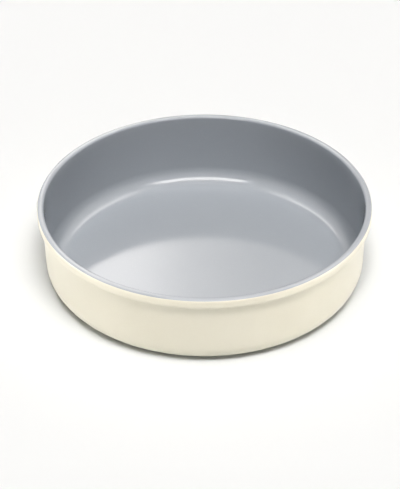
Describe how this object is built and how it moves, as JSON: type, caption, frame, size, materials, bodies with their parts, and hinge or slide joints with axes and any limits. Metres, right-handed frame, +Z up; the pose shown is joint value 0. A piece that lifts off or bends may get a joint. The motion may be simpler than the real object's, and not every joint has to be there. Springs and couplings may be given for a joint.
{
  "type": "round cake tin",
  "caption": "Round cake tin pressed from steel sheet: flat floor, softly rounded corner, nearly upright wall and rolled rim, grey ceramic lining inside and cream paint outside.",
  "frame": {"origin": "centre of the underside, on the table", "axes": "+Z up through the mouth, along the tin's axis; X and Y are alike, because the tin is round"},
  "size_m": [0.2382, 0.2382, 0.0576],
  "materials": {
    "aluminised_steel": "satin",
    "grey_ceramic_lining": "satin",
    "cream_paint": "satin"
  },
  "bodies": {
    "root": {"steel_shell": "aluminised_steel", "nonstick_lining": "grey_ceramic_lining", "outer_paint": "cream_paint"}
  },
  "joints": []
}
